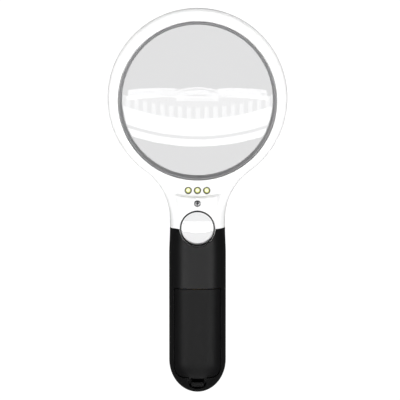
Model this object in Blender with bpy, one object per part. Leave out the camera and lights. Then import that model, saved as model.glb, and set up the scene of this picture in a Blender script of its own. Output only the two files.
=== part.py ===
"""Battery lit hand magnifier: white head and neck, black handle with three AAA cells.

It lies on its back: +Z is the lamp side, +Y points at the top of the head. Sizes below are millimetres.
"""

import math

import bmesh
import bpy
from mathutils import Matrix, Vector

MM = 0.001

# Outline in plan
HEAD_Y, HEAD_R = 49.1, 42.9
NECK_X, NECK_Y = 41.59, -8.8  # centre of the arc that joins head and handle
NECK_R = NECK_X - 13.2
HANDLE_W, GRIP_W = 13.2, 13.6
TAIL_Y, TAIL_L = -76.5, 15.5

# Thickness
SPLIT = 8.0  # where front and back halves meet
GAP = 0.3
HEAD_TOP, HANDLE_TOP = 15.0, 25.0
WALL = 1.8
JOINT_Y = -12.5  # white meets black

# Lenses
LENS_Y, LENS_R = 48.0, 37.5
SMALL_Y, SMALL_BORE = -12.2, 8.6
TUBE_R = 9.8
COLLAR_R = 10.1

# Lamps
LED_Y, LED_PITCH, LED_TILT = 5.5, 4.4, math.radians(12)

# Battery bay
CELL_R, CELL_L = 5.25, 44.5
CELLS = ((-5.5, 7.4), (5.5, 7.4), (0.0, 16.7))
FRONT_PAD_Y, REAR_PAD_Y = -32.2, -80.5
DOOR_Y0, DOOR_Y1, DOOR_W = -41.0, -83.2, 11.0
LATCH_PIVOT = (0.0, -82.8, 14.2)

SCREWS_BACK = ((-13.0, 6.0, 11.5), (13.0, 6.0, 11.5), (-7.8, -22.0, 16.0), (7.8, -22.0, 16.0), (0.0, -86.4, 10.2))
NECK_SCREW_Y = -0.4


def clear_scene():
    for old in list(bpy.data.objects):
        bpy.data.objects.remove(old, do_unlink=True)


def material(name, colour, roughness, metallic=0.0, clear=0.0):
    mat = bpy.data.materials.new(name)
    mat.use_nodes = True
    shader = mat.node_tree.nodes["Principled BSDF"]
    shader.inputs["Base Color"].default_value = (*colour, 1.0)
    shader.inputs["Roughness"].default_value = roughness
    shader.inputs["Metallic"].default_value = metallic
    shader.inputs["Transmission Weight"].default_value = clear
    return mat


# ---------------------------------------------------------------- shape of the body


def ease(t):
    t = min(1.0, max(0.0, t))
    return t * t * (3.0 - 2.0 * t)


def edge_distance(x, y):
    """How far inside the outline a point of the plan is."""
    x = abs(x)
    if y <= TAIL_Y:
        return (1.0 - math.hypot(x / GRIP_W, (y - TAIL_Y) / TAIL_L)) * GRIP_W
    if y <= NECK_Y:
        return HANDLE_W + (GRIP_W - HANDLE_W) * ease((-12.0 - y) / 14.0) - x
    if NECK_X * (y - HEAD_Y) + (HEAD_Y - NECK_Y) * x < 0.0:
        return math.hypot(x - NECK_X, y - NECK_Y) - NECK_R
    return HEAD_R - math.hypot(x, y - HEAD_Y)


def plateau(x, y):
    """Raised pad between the lamps and the small lens."""
    side = 11.5 - max(0.0, 4.0 - y) * 0.232 - abs(x)
    arc = 2.9 + 1.3 * (x / 11.5) ** 2 - y
    height = 2.6 * (1.0 - ease((2.9 - y) / 14.0))
    return height * ease(side / 1.8) * ease(arc / 0.9)


def rounding(d, width, power):
    t = min(1.0, max(0.0, d / width))
    return (1.0 - (1.0 - t) ** power) ** (1.0 / power)


def top_z(x, y, inset=0.0):
    base = SPLIT + GAP / 2
    crown = HEAD_TOP + (HANDLE_TOP - HEAD_TOP) * ease((9.5 - y) / 24.0) - inset
    grow = ease((12.0 - y) / 24.0)
    width = 3.8 + 9.4 * grow + 0.4 * ease((-12.0 - y) / 14.0) - inset
    z = base + (crown - base) * rounding(edge_distance(x, y) - inset, width, 2.8 - 0.2 * grow)
    return z + plateau(x, y) * rounding(edge_distance(x, y) - inset, 2.0, 2.0)


def bottom_z(x, y, inset=0.0):
    base = SPLIT - GAP / 2
    grow = ease((12.0 - y) / 24.0)
    width = 3.6 + 9.6 * grow + 0.4 * ease((-12.0 - y) / 14.0) - inset
    depth = (base + 0.35 * grow) * rounding(edge_distance(x, y) - inset, width, 2.0 + grow)
    return max(inset, base - depth)


def half_width(y, inset):
    low, high = 0.0, 50.0
    if edge_distance(0.0, y) <= inset:
        return 0.0
    for _ in range(40):
        mid = (low + high) / 2
        if edge_distance(mid, y) > inset:
            low = mid
        else:
            high = mid
    return low


def white_rows(inset, end=JOINT_Y + GAP / 2):
    steps = 20
    rows = [end + (14.4 - end) * i / steps for i in range(steps)]
    radius = HEAD_R - inset
    start = math.asin((14.4 - HEAD_Y) / radius)
    turns = 24
    return rows + [HEAD_Y + radius * math.sin(start + (math.pi / 2 - start) * i / turns) for i in range(turns + 1)]


def black_rows(inset, end=JOINT_Y - GAP / 2):
    length = TAIL_L * (1.0 - inset / GRIP_W)
    tail = [TAIL_Y - length * math.sin(math.pi / 2 * i / 10) for i in range(11)]
    grip = [end + (TAIL_Y - end) * t for t in (0.0, 0.08, 0.16, 0.3, 0.5, 0.75)]
    return grip + tail


# ---------------------------------------------------------------- mesh helpers


def finish_mesh(name, bm, mat=None):
    bmesh.ops.remove_doubles(bm, verts=bm.verts, dist=1e-7)
    bmesh.ops.dissolve_degenerate(bm, edges=bm.edges, dist=1e-7)
    bmesh.ops.recalc_face_normals(bm, faces=bm.faces)
    mesh = bpy.data.meshes.new(name)
    bm.to_mesh(mesh)
    bm.free()
    obj = bpy.data.objects.new(name, mesh)
    bpy.context.scene.collection.objects.link(obj)
    if mat is not None:
        obj.data.materials.append(mat)
    return obj


def build(name, points, faces, mat=None):
    bm = bmesh.new()
    verts = [bm.verts.new(Vector(p) * MM) for p in points]
    for face in faces:
        bm.faces.new([verts[i] for i in face])
    return finish_mesh(name, bm, mat)


def body(name, rows, height, inset, across=22, mat=None):
    """A solid between the split plane and a height given over the plan."""
    base = SPLIT + GAP / 2 if height is top_z else SPLIT - GAP / 2
    bm = bmesh.new()
    grid = []
    for y in rows:
        wide = half_width(y, inset)
        line = []
        for k in range(across + 1):
            u = math.sin(math.pi / 2 * (2 * k / across - 1)) * 0.35 + 0.65 * (2 * k / across - 1)
            x = wide * math.sin(math.pi / 2 * u) if abs(u) < 1 else math.copysign(wide, u)
            z = base if k in (0, across) or wide == 0.0 else height(x, y, inset)
            line.append(bm.verts.new(Vector((x, y, z)) * MM))
        grid.append(line)
    for a, b in zip(grid, grid[1:]):
        for k in range(across):
            bm.faces.new((a[k], a[k + 1], b[k + 1], b[k]))
        bm.faces.new((a[0], a[-1], b[-1], b[0]))
    bm.faces.new(grid[0])
    if half_width(rows[-1], inset) > 0.05:
        bm.faces.new(grid[-1])
    else:
        for v in grid[-1]:
            v.co = Vector((0.0, rows[-1], base)) * MM
    bmesh.ops.remove_doubles(bm, verts=bm.verts, dist=1e-6)
    flat = [f for f in bm.faces if len(f.verts) > 4]
    bmesh.ops.triangulate(bm, faces=flat, ngon_method="EAR_CLIP")
    return finish_mesh(name, bm, mat)


def revolve(name, profile, centre=(0.0, 0.0), segments=48, mat=None):
    """Turn a closed (radius, z) profile about a vertical line."""
    points, faces = [], []
    count = len(profile)
    for s in range(segments):
        a = 2 * math.pi * (s + 0.31) / segments
        points += [(centre[0] + r * math.cos(a), centre[1] + r * math.sin(a), z) for r, z in profile]
    for s in range(segments):
        n = (s + 1) % segments
        for i in range(count):
            j = (i + 1) % count
            if profile[i][0] < 1e-6 and profile[j][0] < 1e-6:
                continue
            quad = [s * count + i, s * count + j, n * count + j, n * count + i]
            if profile[i][0] < 1e-6:
                quad = [s * count + i, s * count + j, n * count + j]
            elif profile[j][0] < 1e-6:
                quad = [s * count + i, s * count + j, n * count + i]
            faces.append(quad)
    return build(name, points, faces, mat)


def cylinder(name, x, y, radius, z0, z1, segments=32, mat=None):
    return revolve(name, [(0, z0), (radius, z0), (radius, z1), (0, z1)], (x, y), segments, mat)


def block(name, x0, x1, y0, y1, z0, z1, mat=None):
    points = [(x, y, z) for z in (z0, z1) for x, y in ((x0, y0), (x1, y0), (x1, y1), (x0, y1))]
    faces = [(0, 1, 2, 3), (4, 5, 6, 7), (0, 1, 5, 4), (1, 2, 6, 5), (2, 3, 7, 6), (3, 0, 4, 7)]
    return build(name, points, faces, mat)


def prism(name, outline, z0, z1, mat=None):
    """Extrude a plan outline between two heights."""
    n = len(outline)
    points = [(x, y, z0) for x, y in outline] + [(x, y, z1) for x, y in outline]
    faces = [tuple(range(n)), tuple(range(n, 2 * n))]
    faces += [(i, (i + 1) % n, n + (i + 1) % n, n + i) for i in range(n)]
    return build(name, points, faces, mat)


def side_prism(name, outline, x0, x1, mat=None):
    """Extrude a (y, z) outline across the object."""
    n = len(outline)
    points = [(x0, y, z) for y, z in outline] + [(x1, y, z) for y, z in outline]
    faces = [tuple(range(n)), tuple(range(n, 2 * n))]
    faces += [(i, (i + 1) % n, n + (i + 1) % n, n + i) for i in range(n)]
    return build(name, points, faces, mat)


def rounded_plan(wide, y_top, y_low, r_top, r_low, steps=6):
    """Rectangle symmetric about x = 0 with rounded corners, seen in plan."""
    corners = ((wide, y_top, r_top, 0), (-wide, y_top, r_top, 90), (-wide, y_low, r_low, 180), (wide, y_low, r_low, 270))
    out = []
    for x, y, r, start in corners:
        cx = x - math.copysign(r, x)
        cy = y - r if start < 180 else y + r
        for i in range(steps + 1):
            a = math.radians(start + 90 * i / steps)
            out.append((cx + r * math.cos(a), cy + r * math.sin(a)))
    return out


def tube(name, path, radius, sides=6, mat=None, per=6):
    """A round wire along a smooth curve through the given points."""
    pts = [Vector(p) for p in path]
    ext = [2 * pts[0] - pts[1]] + pts + [2 * pts[-1] - pts[-2]]
    line = []
    for i in range(1, len(ext) - 2):
        for k in range(per):
            t = k / per
            a, b, c, d = ext[i - 1], ext[i], ext[i + 1], ext[i + 2]
            line.append(0.5 * ((2 * b) + (c - a) * t + (2 * a - 5 * b + 4 * c - d) * t * t
                               + (3 * b - a - 3 * c + d) * t ** 3))
    line.append(pts[-1])
    bm = bmesh.new()
    rings = []
    side = None
    for i, p in enumerate(line):
        ahead = (line[min(i + 1, len(line) - 1)] - line[max(i - 1, 0)]).normalized()
        if side is None:
            side = ahead.orthogonal().normalized()
        side = (side - ahead * side.dot(ahead)).normalized()
        other = ahead.cross(side)
        rings.append([bm.verts.new((p + (side * math.cos(a) + other * math.sin(a)) * radius) * MM)
                      for a in (2 * math.pi * k / sides for k in range(sides))])
    for a, b in zip(rings, rings[1:]):
        for k in range(sides):
            bm.faces.new((a[k], a[(k + 1) % sides], b[(k + 1) % sides], b[k]))
    bm.faces.new(rings[0])
    bm.faces.new(rings[-1])
    return finish_mesh(name, bm, mat)


def combine(target, tool, operation, keep=False):
    """Boolean the tool into the target and bake the answer."""
    mod = target.modifiers.new("step", "BOOLEAN")
    mod.operation = operation
    mod.solver = "EXACT"
    mod.object = tool
    bpy.context.view_layer.update()
    graph = bpy.context.evaluated_depsgraph_get()
    mesh = bpy.data.meshes.new_from_object(target.evaluated_get(graph))
    old = target.data
    target.modifiers.clear()
    target.data = mesh
    mesh.name = target.name
    bpy.data.meshes.remove(old)
    if not keep:
        bpy.data.objects.remove(tool, do_unlink=True)
    return target


def cut(target, *tools):
    for tool in tools:
        combine(target, tool, "DIFFERENCE")
    return target


def add(target, *tools):
    for tool in tools:
        combine(target, tool, "UNION")
    return target


def place(obj, matrix):
    obj.data.transform(matrix)
    obj.data.update()
    return obj


def set_origin(obj, point):
    offset = Vector(point) * MM
    obj.data.transform(Matrix.Translation(-offset))
    obj.location = offset
    return obj


def tidy(obj, mat, flat=2.0):
    """Keep one material and drop the crumbs a boolean leaves."""
    bm = bmesh.new()
    bm.from_mesh(obj.data)
    bmesh.ops.remove_doubles(bm, verts=bm.verts, dist=2e-6)
    bmesh.ops.dissolve_degenerate(bm, edges=bm.edges, dist=2e-6)
    bmesh.ops.dissolve_limit(bm, angle_limit=math.radians(flat), verts=bm.verts, edges=bm.edges)
    bmesh.ops.triangulate(bm, faces=bm.faces)
    bm.to_mesh(obj.data)
    bm.free()
    obj.data.materials.clear()
    obj.data.materials.append(mat)
    return obj


def lamp_frame(x):
    """Where a lamp stands on its board: local +Z leans towards the lens."""
    tip = Vector((x, LED_Y + 0.17, 16.7)) * MM
    turn = Matrix.Rotation(-LED_TILT, 4, "X")
    return Matrix.Translation(tip) @ turn


# ---------------------------------------------------------------- white head


def front_head_shell(mat):
    shell = body("front_head_shell", white_rows(0.0), top_z, 0.0)
    hollow = body("hollow", white_rows(WALL, JOINT_Y - 2.0), top_z, WALL)
    cut(hollow,
        cylinder("keep", 0, LENS_Y, LENS_R + 1.9, 0, 40, 56),
        cylinder("keep", 0, SMALL_Y, COLLAR_R + 0.3, 17.9, 40, 44),
        cylinder("keep", 0, NECK_SCREW_Y, 2.2, 0, 40, 24))
    for x, y, _ in SCREWS_BACK[:2]:
        cut(hollow, cylinder("keep", x, y, 2.3, 0, 40, 20))
    cut(shell, hollow)
    cut(shell,
        cylinder("bore", 0, LENS_Y, LENS_R + 0.3, 0, 40, 64),
        cylinder("small_bore", 0, SMALL_Y, SMALL_BORE, 0, 40, 48),
        cylinder("tube_room", 0, SMALL_Y, COLLAR_R, 0, 18.0, 48),
        cylinder("screw_hole", 0, NECK_SCREW_Y, 1.2, 0, 40, 20),
        cylinder("screw_seat", 0, NECK_SCREW_Y, 1.65, 19.0, 40, 20))
    slot = prism("slot", rounded_plan(2.6, 2.6, -6.0, 2.55, 0.2), 0.0, 6.0)
    place(slot, Matrix.Translation(Vector((0, NECK_SCREW_Y, 20.35)) * MM) @ Matrix.Rotation(math.radians(-20), 4, "X"))
    cut(shell, slot)
    for x in (-LED_PITCH, 0.0, LED_PITCH):
        hole = cylinder("led_hole", 0, 0, 1.75, -8.0, 6.0, 20)
        cut(shell, place(hole, lamp_frame(x)))
    for x, y, top in SCREWS_BACK[:2]:
        cut(shell, cylinder("pilot", x, y, 1.2, 0, top + 0.5, 16))
    return tidy(shell, mat)


def back_head_shell(mat):
    shell = body("back_head_shell", white_rows(0.0), bottom_z, 0.0)
    hollow = body("hollow", white_rows(WALL, JOINT_Y - 2.0), bottom_z, WALL)
    cut(hollow, cylinder("keep", 0, LENS_Y, LENS_R + 1.9, -5, 40, 56))
    cut(shell, hollow)
    add(shell, cylinder("neck_boss", 0, NECK_SCREW_Y, 2.3, 0.9, 7.8, 24))
    for x, y, _ in SCREWS_BACK[:2]:
        add(shell, cylinder("boss", x, y, 3.3, 0.9, 7.8, 24))
    # tongue that reaches under the handle, with an ear for each joining screw
    add(shell, cylinder("tube", 0, SMALL_Y, TUBE_R, 0.3, 17.5, 48))
    add(shell, block("tongue", -8.6, 8.6, -20.0, -13.4, 4.03, 5.77))
    for x, y, _ in SCREWS_BACK[2:4]:
        add(shell, cylinder("ear", x, y, 2.4, 4.08, 5.72, 24))
    y = LENS_Y
    seat = [(0, -2), (37.1, -2), (37.1, 0.5), (35.8, 4.5), (35.8, 6.2), (37.8, 6.2), (37.8, 20), (0, 20)]
    bore = [(0, -2), (8.3, -2), (8.3, 0.4), (7.3, 3.0), (7.3, 15.4), (8.6, 15.4), (8.6, 20), (0, 20)]
    cut(shell, revolve("seat", seat, (0, y), 64), revolve("small_seat", bore, (0, SMALL_Y), 48),
        cylinder("neck_pilot", 0, NECK_SCREW_Y, 1.2, 2.2, 20, 16))
    for x, y, _ in SCREWS_BACK[:2]:
        cut(shell, cylinder("sink", x, y, 2.3, -2, 2.4, 20), cylinder("hole", x, y, 1.2, -2, 20, 16))
    for x, y, _ in SCREWS_BACK[2:4]:
        cut(shell, cylinder("hole", x, y, 1.2, -2, 20, 16))
    return tidy(shell, mat)


def lens_ring(mat):
    profile = [(35.7, 9.5), (37.5, 9.5), (37.5, 14.3), (37.25, 14.6), (36.95, 14.6), (35.7, 10.2)]
    return revolve("lens_ring", profile, (0, LENS_Y), 64, mat)


def lens_profile(radius, edge0, edge1, sag_low, sag_high, steps):
    """Two shallow domes joined by a straight rim."""
    low = [(radius * i / steps, edge0 - sag_low * (1 - (i / steps) ** 2)) for i in range(steps + 1)]
    high = [(radius * i / steps, edge1 + sag_high * (1 - (i / steps) ** 2)) for i in range(steps, -1, -1)]
    return low + high


def main_lens(mat):
    return revolve("main_lens", lens_profile(LENS_R, 6.9, 8.8, 5.8, 2.0, 5), (0, LENS_Y), 56, mat)


def small_lens(mat):
    return revolve("small_lens", lens_profile(8.3, 16.2, 19.4, 1.5, 0.5, 4), (0, SMALL_Y), 32, mat)


def small_lens_ring(mat):
    profile = [(7.7, 20.1), (8.3, 20.1), (8.3, 21.3), (8.15, 21.5), (7.95, 21.5), (7.7, 21.2)]
    return revolve("small_lens_ring", profile, (0, SMALL_Y), 48, mat)


# ---------------------------------------------------------------- black handle


def scoop_plan(wide, y_top, y_low):
    return rounded_plan(wide, y_top, y_low, 0.2, wide * 0.8, 8)


def handle_front_shell(mat):
    shell = body("handle_front_shell", black_rows(0.0), top_z, 0.0)
    hollow = body("hollow", black_rows(WALL, JOINT_Y + 2.0), top_z, WALL)
    cut(hollow,
        cylinder("keep", 0, SMALL_Y, COLLAR_R + 0.3, 17.9, 40, 44),
        prism("keep", scoop_plan(5.6, -83.9, -90.7), 11.7, 40),
        cylinder("keep", 0, SCREWS_BACK[4][1], 2.4, 0, 40, 24))
    for x, y, _ in SCREWS_BACK[2:4]:
        cut(hollow, cylinder("keep", x, y, 2.1, 8.6, 40, 20))
    cut(shell, hollow)
    for x, y, _ in SCREWS_BACK[2:4]:
        add(shell, cylinder("boss", x, y, 2.0, 6.1, 17.0, 24))
    cut(shell,
        cylinder("small_bore", 0, SMALL_Y, SMALL_BORE, 0, 40, 48),
        cylinder("tube_room", 0, SMALL_Y, COLLAR_R, 0, 18.0, 48),
        prism("scoop", scoop_plan(4.3, -82.0, -89.4), 13.0, 40),
        prism("opening", rounded_plan(DOOR_W + 0.3, DOOR_Y0 + 0.3, DOOR_Y1 - 0.6, 1.2, 5.0), 12.0, 40))
    for x, y, top in SCREWS_BACK[2:]:
        cut(shell, cylinder("pilot", x, y, 1.2, 0, top + 0.4, 16))
    return tidy(shell, mat, 0.8)


def handle_back_shell(mat):
    shell = body("handle_back_shell", black_rows(0.0), bottom_z, 0.0)
    hollow = body("hollow", black_rows(WALL, JOINT_Y + 2.0), bottom_z, WALL)
    cut(hollow, cylinder("keep", 0, SCREWS_BACK[4][1], 3.4, -5, 40, 24))
    for x, y, _ in SCREWS_BACK[2:4]:
        cut(hollow, cylinder("keep", x, y, 3.1, -5, 3.7, 24))
    cut(shell, hollow)
    cut(shell,
        cylinder("tube_room", 0, SMALL_Y, COLLAR_R, -5, 40, 48),
        prism("thumb_well", rounded_plan(3.4, -22.9, -29.9, 1.0, 1.0), -2.0, 1.2),
        block("stem_slot", -1.1, 1.1, -28.6, -24.2, -2.0, 5.0))
    for x, y, _ in SCREWS_BACK[2:4]:
        cut(shell, cylinder("sink", x, y, 2.3, -2, 2.3, 20), cylinder("hole", x, y, 1.2, -2, 5, 16))
    x, y, _ = SCREWS_BACK[4]
    cut(shell, cylinder("sink", x, y, 2.3, -2, 2.4, 20), cylinder("hole", x, y, 1.2, -2, 20, 16))
    return tidy(shell, mat)


def battery_door(mat):
    plan = rounded_plan(DOOR_W, DOOR_Y0, DOOR_Y1, 1.0, 4.8)
    door = body("battery_door", black_rows(0.0), top_z, 0.0)
    under = body("under", black_rows(0.0), top_z, 0.0)
    place(under, Matrix.Translation((0, 0, -1.9 * MM)))
    cut(door, under)
    combine(door, prism("door_plan", plan, 9.0, 40.0), "INTERSECT")
    add(door, block("leg", -3.4, 3.4, DOOR_Y1 + 0.05, -82.4, 15.1, 23.1))
    for x in (-6.0, 6.0):
        tab = side_prism("tab", [(-39.7, 19.6), (-39.7, 20.5), (-41.4, 20.5), (-41.4, 23.6), (-43.0, 23.6),
                                 (-43.0, 19.6)], x - 1.0, x + 1.0)
        add(door, tab)
    tidy(door, mat)
    return set_origin(door, (0.0, DOOR_Y0, HANDLE_TOP))


def door_latch(door, mat):
    outline = [(-82.5, 13.7), (-85.6, 13.7), (-86.6, 14.6), (-88.6, 17.2), (-88.8, 18.0), (-87.6, 19.4),
               (-86.3, 20.5), (-86.1, 19.8), (-87.1, 17.6), (-85.7, 15.3), (-85.1, 14.8), (-82.5, 14.8)]
    latch = side_prism("door_latch", outline, -3.0, 3.0, mat)
    set_origin(latch, LATCH_PIVOT)
    world = latch.matrix_world.copy()
    latch.parent = door
    bpy.context.view_layer.update()
    latch.location = Vector(LATCH_PIVOT) * MM - door.location
    return latch


# ---------------------------------------------------------------- switch


def switch_parts(thumb_mat, lever_mat, housing_mat):
    thumb = prism("switch_thumb", rounded_plan(2.9, -23.2, -27.4, 0.8, 0.8), 0.35, 0.9)
    for y in (-23.9, -24.9, -25.9, -26.9):
        cut(thumb, block("groove", -2.2, 2.2, y - 0.2, y + 0.2, 0.0, 0.55))
    add(thumb, block("stem", -0.8, 0.8, -26.3, -24.5, 0.6, 2.5))
    tidy(thumb, thumb_mat)
    set_origin(thumb, (0.0, -25.3, 0.5))
    lever = block("switch_lever", -1.6, 1.6, -26.5, -24.3, 2.8, 3.8, lever_mat)
    set_origin(lever, (0.0, -25.3, 3.3))
    housing = block("switch_housing", -4.2, 4.2, -30.0, -22.7, 2.2, 7.0)
    cut(housing, block("lever_room", -2.2, 2.2, -28.9, -24.0, 1.0, 4.4))
    tidy(housing, housing_mat)
    return thumb, lever, housing


# ---------------------------------------------------------------- lamps and board


def lamp_parts(led_mat, board_mat, resistor_mat):
    names = ("led_1", "led_2", "led_3")
    for name, x in zip(names, (-LED_PITCH, 0.0, LED_PITCH)):
        dome = [(1.5 * math.sin(a), -1.5 + 1.5 * math.cos(a)) for a in (math.pi / 2 * i / 5 for i in range(5, -1, -1))]
        profile = [(0, -5.4), (1.9, -5.4), (1.9, -4.4), (1.5, -4.4)] + dome
        place(revolve(name, profile, (0, 0), 24, led_mat), lamp_frame(x))
    board = block("led_board", -9.0, 9.0, -2.35, 2.35, -6.7, -5.7, board_mat)
    place(board, lamp_frame(0.0))
    for i, x in enumerate((-5.0, 0.0, 5.0)):
        part = cylinder(f"resistor_{i + 1}", 0, 0, 0.7, -1.7, 1.7, 12, resistor_mat)
        place(part, Matrix.Rotation(math.pi / 2, 4, "Y"))
        place(part, lamp_frame(x) @ Matrix.Translation(Vector((0, 0.4, -7.8)) * MM))


# ---------------------------------------------------------------- battery bay


def along_y(obj, x, z, start, flip):
    """Lay a part turned about +Z down along the handle."""
    turn = Matrix.Rotation(math.radians(90 if not flip else -90), 4, "X")
    return place(obj, Matrix.Translation(Vector((x, start, z)) * MM) @ turn)


def battery_cells(mat):
    front = FRONT_PAD_Y - 0.3
    profile = [(0, 0), (1.9, 0), (1.9, 0.8), (4.6, 0.8), (CELL_R, 1.2), (CELL_R, CELL_L - 0.5), (4.9, CELL_L),
               (0, CELL_L)]
    for i, (x, z) in enumerate(CELLS):
        cell = revolve(f"battery_cell_{i + 1}", profile, (0, 0), 28, mat)
        if i == 1:
            along_y(cell, x, z, REAR_PAD_Y + 0.2, True)
        else:
            along_y(cell, x, z, front, False)


def coil(name, x, z, y0, y1, mat):
    turns, per = 3.5, 10
    count = int(turns * per)
    path = []
    for i in range(count + 1):
        t = i / count
        a = 2 * math.pi * turns * t
        r = 3.4 - 1.3 * t
        path.append((x + r * math.cos(a), y0 + (y1 - y0) * t, z + r * math.sin(a)))
    return tube(name, path, 0.3, 5, mat, per=1)


def contact_parts(spring_mat, pad_mat, holder_mat):
    (x1, z1), (x2, z2), (x3, z3) = CELLS
    coil("spring_1", x1, z1, REAR_PAD_Y + 0.4, -77.4, spring_mat)
    coil("spring_2", x2, z2, FRONT_PAD_Y - 0.6, -35.3, spring_mat)
    coil("spring_3", x3, z3, REAR_PAD_Y + 0.4, -77.4, spring_mat)

    def disc(name, x, z, y0, y1, mat=None):
        return along_y(cylinder(name, 0, 0, 4.2, 0, y0 - y1, 24, mat), x, z, y0, False)

    def strap(xa, za, xb, zb, y0, y1):
        run = Vector((xb - xa, zb - za))
        side = Vector((-run.y, run.x)).normalized() * 2.0
        corners = [Vector((xa, za)) + side, Vector((xb, zb)) + side, Vector((xb, zb)) - side, Vector((xa, za)) - side]
        pts = [(c.x, y, c.y) for y in (y0, y1) for c in corners]
        return build("strap", pts, [(0, 1, 2, 3), (4, 5, 6, 7), (0, 1, 5, 4), (1, 2, 6, 5), (2, 3, 7, 6), (3, 0, 4, 7)])

    f0, f1 = FRONT_PAD_Y + 0.4, FRONT_PAD_Y
    r0, r1 = REAR_PAD_Y, REAR_PAD_Y - 0.4
    disc("front_pad", x1, z1, f0, f1, pad_mat)
    link = disc("front_link", x2, z2, f0, f1)
    add(link, disc("disc", x3, z3, f0, f1), strap(x2, z2, x3, z3, f0 - 0.02, f1 + 0.02))
    tidy(link, pad_mat)
    link = disc("rear_link", x1, z1, r0, r1)
    add(link, disc("disc", x2, z2, r0, r1), strap(x1, z1, x2, z2, r0 - 0.02, r1 + 0.02))
    tidy(link, pad_mat)
    disc("rear_pad", x3, z3, r0, r1, pad_mat)
    for name, y0, y1 in (("front_holder", f0 + 1.3, f0 + 0.3), ("rear_holder", r1 - 0.3, r1 - 1.1)):
        hull = []
        for i in range(36):
            a = 2 * math.pi * i / 36
            d = Vector((math.cos(a), math.sin(a)))
            best = max(CELLS, key=lambda c: Vector(c).dot(d))
            hull.append((best[0] + 5.0 * d.x, best[1] + 5.0 * d.y))
        n = len(hull)
        pts = [(x, y0, z) for x, z in hull] + [(x, y1, z) for x, z in hull]
        faces = [tuple(range(n)), tuple(range(n, 2 * n))] + [(i, (i + 1) % n, n + (i + 1) % n, n + i) for i in range(n)]
        build(name, pts, faces, holder_mat)


# ---------------------------------------------------------------- screws and wires


def screw(name, x, y, z_head, z_tip, head_r, mat):
    """Cross head screw; the head sits at z_head and the point at z_tip."""
    up = 1.0 if z_tip > z_head else -1.0
    profile = [(0, 0), (head_r * 0.8, 0), (head_r, 0.3), (head_r, 0.9), (0.9, 1.3), (0.9, abs(z_tip - z_head) - 0.9),
               (0.3, abs(z_tip - z_head)), (0, abs(z_tip - z_head))]
    part = revolve(name, [(r, z_head + up * z) for r, z in profile], (x, y), 20)
    low, high = sorted((z_head - up, z_head + up * 0.6))
    cut(part, block("cross", x - 0.75 * head_r, x + 0.75 * head_r, y - 0.2, y + 0.2, low, high),
        block("cross", x - 0.2, x + 0.2, y - 0.75 * head_r, y + 0.75 * head_r, low, high))
    return tidy(part, mat)


def screws(mat):
    screw("neck_screw", 0.0, NECK_SCREW_Y, 20.5, 3.0, 1.35, mat)
    for i, (x, y, top) in enumerate(SCREWS_BACK):
        screw(f"back_screw_{i + 1}", x, y, 0.6, top, 1.9, mat)


def wires(red, black, yellow):
    tube("wire_positive", [(-5.5, -30.1, 9.0), (-5.6, -29.2, 8.2), (-5.2, -28.2, 6.8), (-4.9, -27.0, 6.2)], 0.5, 6, red)
    tube("wire_negative", [(-4.6, -80.6, 13.6), (-9.0, -78.5, 13.4), (-9.4, -70.0, 13.2), (-9.4, -36.0, 13.2),
                           (-10.3, -26.0, 11.0), (-10.45, -18.0, 9.6), (-10.5, -10.0, 9.6), (-9.8, -1.0, 9.8),
                           (-9.5, 2.2, 10.4)], 0.5, 6, black)
    tube("wire_switched", [(4.8, -27.0, 5.4), (8.0, -26.6, 6.2), (10.3, -24.0, 8.4), (10.5, -18.0, 9.6),
                           (10.5, -10.0, 9.6), (9.8, -1.0, 9.8), (9.5, 2.2, 10.4)], 0.5, 6, yellow)


def main():
    clear_scene()
    white = {"colour": (0.86, 0.86, 0.85), "roughness": 0.25}
    black = {"colour": (0.02, 0.02, 0.021), "roughness": 0.35}
    front_head_shell(material("front_shell_white", **white))
    back_head_shell(material("back_shell_white", **white))
    lens_ring(material("ring_grey", (0.32, 0.32, 0.33), 0.4))
    main_lens(material("main_lens_clear", (0.98, 0.98, 0.98), 0.02, 0.0, 1.0))
    small_lens(material("small_lens_clear", (0.98, 0.98, 0.98), 0.02, 0.0, 1.0))
    small_lens_ring(material("small_ring_black", **black))
    handle_front_shell(material("handle_front_black", **black))
    handle_back_shell(material("handle_back_black", **black))
    door = battery_door(material("door_black", **black))
    door_latch(door, material("latch_black", **black))
    switch_parts(material("thumb_grey", (0.3, 0.3, 0.3), 0.5), material("lever_black", (0.03, 0.03, 0.03), 0.5),
                 material("switch_body_black", (0.05, 0.05, 0.05), 0.5))
    lamp_parts(material("led_epoxy", (0.9, 0.9, 0.6), 0.1), material("board_green", (0.03, 0.2, 0.08), 0.5),
               material("resistor_tan", (0.6, 0.45, 0.25), 0.5))
    battery_cells(material("cell_sleeve", (0.1, 0.25, 0.12), 0.35))
    contact_parts(material("spring_steel", (0.7, 0.7, 0.72), 0.25, 1.0),
                  material("contact_nickel", (0.72, 0.72, 0.7), 0.3, 1.0),
                  material("holder_black", (0.03, 0.03, 0.03), 0.5))
    screws(material("screw_steel", (0.4, 0.4, 0.42), 0.3, 1.0))
    wires(material("wire_red", (0.6, 0.03, 0.03), 0.4), material("wire_black", (0.02, 0.02, 0.02), 0.4),
          material("wire_yellow", (0.7, 0.5, 0.05), 0.4))


main()
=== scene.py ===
# %% [markdown]
# # A lit hand magnifier
#
# The object is a round magnifying glass that lies on its back with its lamp side up: a white glossy head
# around a 75 mm lens, a neck with three lamps and a small strong lens, and a black handle with a battery door.
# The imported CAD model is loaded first. It fixes where everything is and what moves with what; everything below
# either gives a CAD part a finish, or stands a finer mesh in its place.

# %% Load the frame
import math

import bmesh
import bpy
from mathutils import Matrix, Vector


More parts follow.
